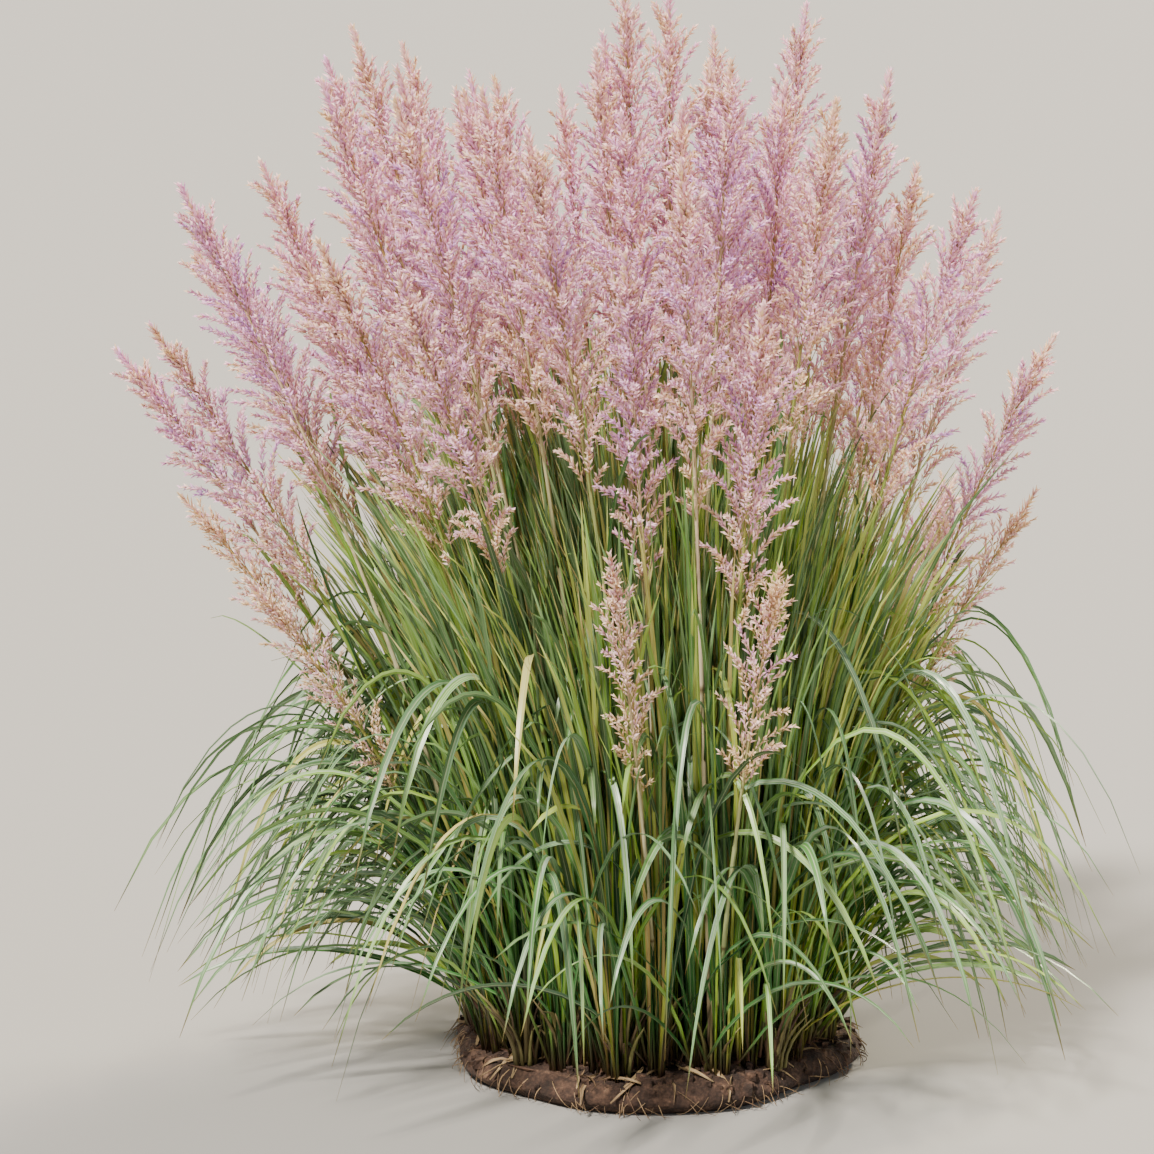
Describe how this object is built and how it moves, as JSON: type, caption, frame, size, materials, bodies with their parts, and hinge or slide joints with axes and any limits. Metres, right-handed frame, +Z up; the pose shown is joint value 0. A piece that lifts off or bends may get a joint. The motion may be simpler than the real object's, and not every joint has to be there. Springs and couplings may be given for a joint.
{
  "type": "feather reed grass clump",
  "caption": "Clump of feather reed grass lifted with its root mat: upright flowering stems with feathery mauve panicles over arching green leaves.",
  "frame": {"origin": "middle of the root mat's flat underside, where the clump rests", "axes": "+Z up along the stems, -Y towards the front, where two low stems stand before the others, and the whole clump leans a little towards -X"},
  "size_m": [1.2269, 1.2871, 1.3343],
  "materials": {
    "plume": "matte",
    "leaf": "satin",
    "soil": "matte"
  },
  "bodies": {
    "root": {"root_mat": "soil", "shoot_01": "plume", "shoot_02": "plume", "shoot_03": "plume", "shoot_04": "plume", "shoot_05": "plume", "shoot_06": "plume", "shoot_07": "plume", "shoot_08": "plume", "shoot_09": "plume", "shoot_10": "plume", "shoot_11": "plume", "shoot_12": "plume", "shoot_13": "plume", "shoot_14": "plume", "shoot_15": "plume", "shoot_16": "plume", "shoot_17": "plume", "shoot_18": "plume", "shoot_19": "plume", "shoot_20": "plume", "shoot_21": "plume", "shoot_22": "plume", "shoot_23": "plume", "shoot_24": "plume", "shoot_25": "plume", "shoot_26": "plume", "tuft_01": "leaf", "tuft_02": "leaf", "tuft_03": "leaf", "tuft_04": "leaf", "tuft_05": "leaf", "tuft_06": "leaf", "tuft_07": "leaf", "tuft_08": "leaf", "tuft_09": "leaf", "tuft_10": "leaf", "tuft_11": "leaf", "tuft_12": "leaf", "tuft_13": "leaf", "tuft_14": "leaf", "tuft_15": "leaf", "tuft_16": "leaf", "tuft_17": "leaf", "tuft_18": "leaf", "tuft_19": "leaf", "tuft_20": "leaf", "tuft_21": "leaf", "tuft_22": "leaf", "tuft_23": "leaf", "tuft_24": "leaf", "tuft_25": "leaf", "tuft_26": "leaf", "tuft_27": "leaf", "tuft_28": "leaf", "tuft_29": "leaf", "tuft_30": "leaf", "tuft_31": "leaf"}
  },
  "joints": []
}
